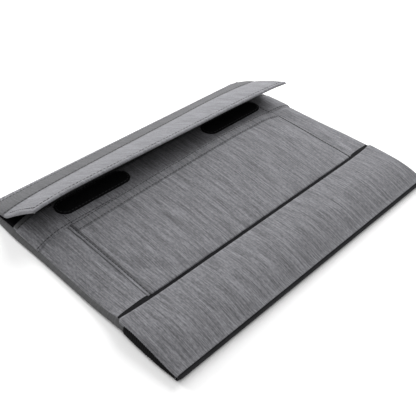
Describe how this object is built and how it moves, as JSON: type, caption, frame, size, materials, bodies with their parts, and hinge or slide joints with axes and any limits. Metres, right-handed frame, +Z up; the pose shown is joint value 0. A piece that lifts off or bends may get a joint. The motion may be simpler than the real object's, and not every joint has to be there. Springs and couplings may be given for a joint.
{
  "type": "tablet case",
  "caption": "Padded envelope sleeve for a tablet with a fold-over flap, a front accessory pocket and a lower band pocket.",
  "frame": {"origin": "middle of the flat underside of the back panel", "axes": "+X along the long side to the right, +Y from the front edge towards the folded side with the flap, +Z up out of the back panel"},
  "size_m": [0.262, 0.196, 0.0346],
  "materials": {
    "grey_cloth": "woven heather, matte",
    "grey_binding": "folded woven tape, matte",
    "dark_tape": "folded woven tape, matte",
    "black_lining": "smooth woven lining, matte",
    "padding_foam": "closed-cell foam",
    "stiffener_board": "plain sheet",
    "loop_tape": "brushed loop pile",
    "hook_tape": "moulded hook pile",
    "black_elastic": "ribbed elastic"
  },
  "bodies": {
    "case": {"back_cover": "grey_cloth", "back_padding": "padding_foam", "back_board": "stiffener_board", "back_lining": "black_lining", "front_lining": "black_lining", "front_padding": "padding_foam", "front_cover": "grey_cloth", "side_gusset_left": "black_lining", "side_gusset_right": "black_lining", "side_binding_left": "grey_binding", "side_binding_right": "grey_binding", "front_edge_binding": "dark_tape", "mouth_facing": "grey_cloth", "mouth_binding": "grey_binding", "loop_strip_left": "loop_tape", "loop_strip_right": "loop_tape", "seam_binding_left": "grey_binding", "seam_binding_right": "grey_binding", "pocket_panel": "grey_cloth", "pocket_lining": "black_lining", "pocket_hem": "grey_binding", "end_gusset_left": "black_elastic", "end_gusset_right": "black_elastic"},
    "lower_pocket": {"band_lining": "black_lining", "band_board": "stiffener_board", "band_cover": "grey_cloth", "band_hem": "grey_binding"},
    "spine": {"spine_cover": "grey_cloth", "spine_padding": "padding_foam", "spine_lining": "black_lining"},
    "flap": {"flap_cover": "grey_cloth", "flap_board": "stiffener_board", "flap_lining": "black_lining", "hook_strip_left": "hook_tape", "hook_strip_right": "hook_tape"}
  },
  "joints": [
    {"name": "spine_fold", "type": "hinge", "parent": "case", "child": "spine", "pos_m": [0, 0.099, 0.002], "axis": [-1, 0, 0], "range_deg": [0, 140]},
    {"name": "flap_fold", "type": "hinge", "parent": "spine", "child": "flap", "pos_m": [0, 0.07469, 0.0159], "axis": [-1, 0, 0], "range_deg": [-28, 12]},
    {"name": "lower_pocket_open", "type": "hinge", "parent": "case", "child": "lower_pocket", "pos_m": [0, -0.096, 0.00534], "axis": [1, 0, 0], "range_deg": [0, 12], "stiffness_Nm_per_rad": 0.05, "springref_deg": -2.86, "deforming": ["end_gusset_left", "end_gusset_right"]}
  ]
}
